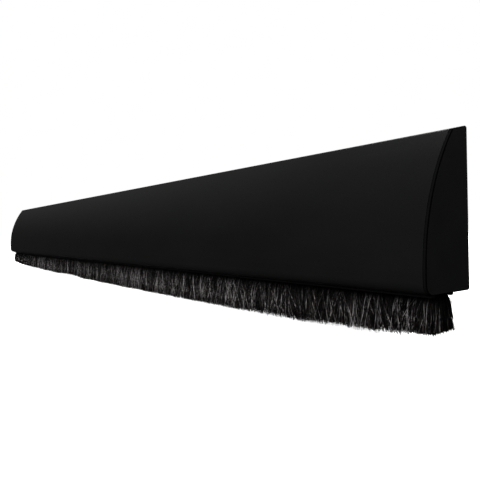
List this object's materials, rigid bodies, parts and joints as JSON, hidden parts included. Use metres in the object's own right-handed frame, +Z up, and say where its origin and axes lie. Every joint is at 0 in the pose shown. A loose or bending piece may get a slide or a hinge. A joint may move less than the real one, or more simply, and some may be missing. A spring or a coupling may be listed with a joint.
{
  "type": "door brush sweep",
  "caption": "Surface-mounted brush sweep for the bottom of a door: curved snap-over cover on a slotted rail, end caps and a dense strip brush.",
  "frame": {"origin": "centre of the back face, which lies on the door", "axes": "+X along the sweep to the right as seen from the front, +Y into the door, +Z up"},
  "size_m": [0.6, 0.0235, 0.071],
  "materials": {
    "coated_cover": "satin black powder coat",
    "coated_rail": "black powder coat",
    "cap_plastic": "fine moulded texture",
    "zinc_steel": "zinc plated",
    "black_steel": "black oxide",
    "bristle": "dark natural hair",
    "foam": "closed-cell foam tape"
  },
  "bodies": {
    "rail": {"mounting_rail": "coated_rail", "brush_backing": "zinc_steel", "brush_core_wire": "zinc_steel", "bristle_roots": "bristle", "brush_set_screws": "black_steel", "tape_upper": "foam", "tape_lower": "foam"},
    "cover": {"cover_profile": "coated_cover"},
    "cap_left": {"end_cap_left": "cap_plastic"},
    "cap_right": {"end_cap_right": "cap_plastic"},
    "bristles": {"bristle_tips": "bristle"}
  },
  "joints": [
    {"name": "cover_hinge", "type": "hinge", "parent": "rail", "child": "cover", "pos_m": [0, -0.005, 0.0232], "axis": [-1, 0, 0], "range_deg": [0, 60]},
    {"name": "cap_left_pull", "type": "slide", "parent": "rail", "child": "cap_left", "axis": [-1, 0, 0], "range_m": [0, 0.014]},
    {"name": "cap_right_pull", "type": "slide", "parent": "rail", "child": "cap_right", "axis": [1, 0, 0], "range_m": [0, 0.014]},
    {"name": "bristle_lean", "type": "hinge", "parent": "rail", "child": "bristles", "pos_m": [0, -0.0134, -0.0306], "axis": [1, 0, 0], "range_deg": [-35, 35], "stiffness_Nm_per_rad": 0.5}
  ]
}
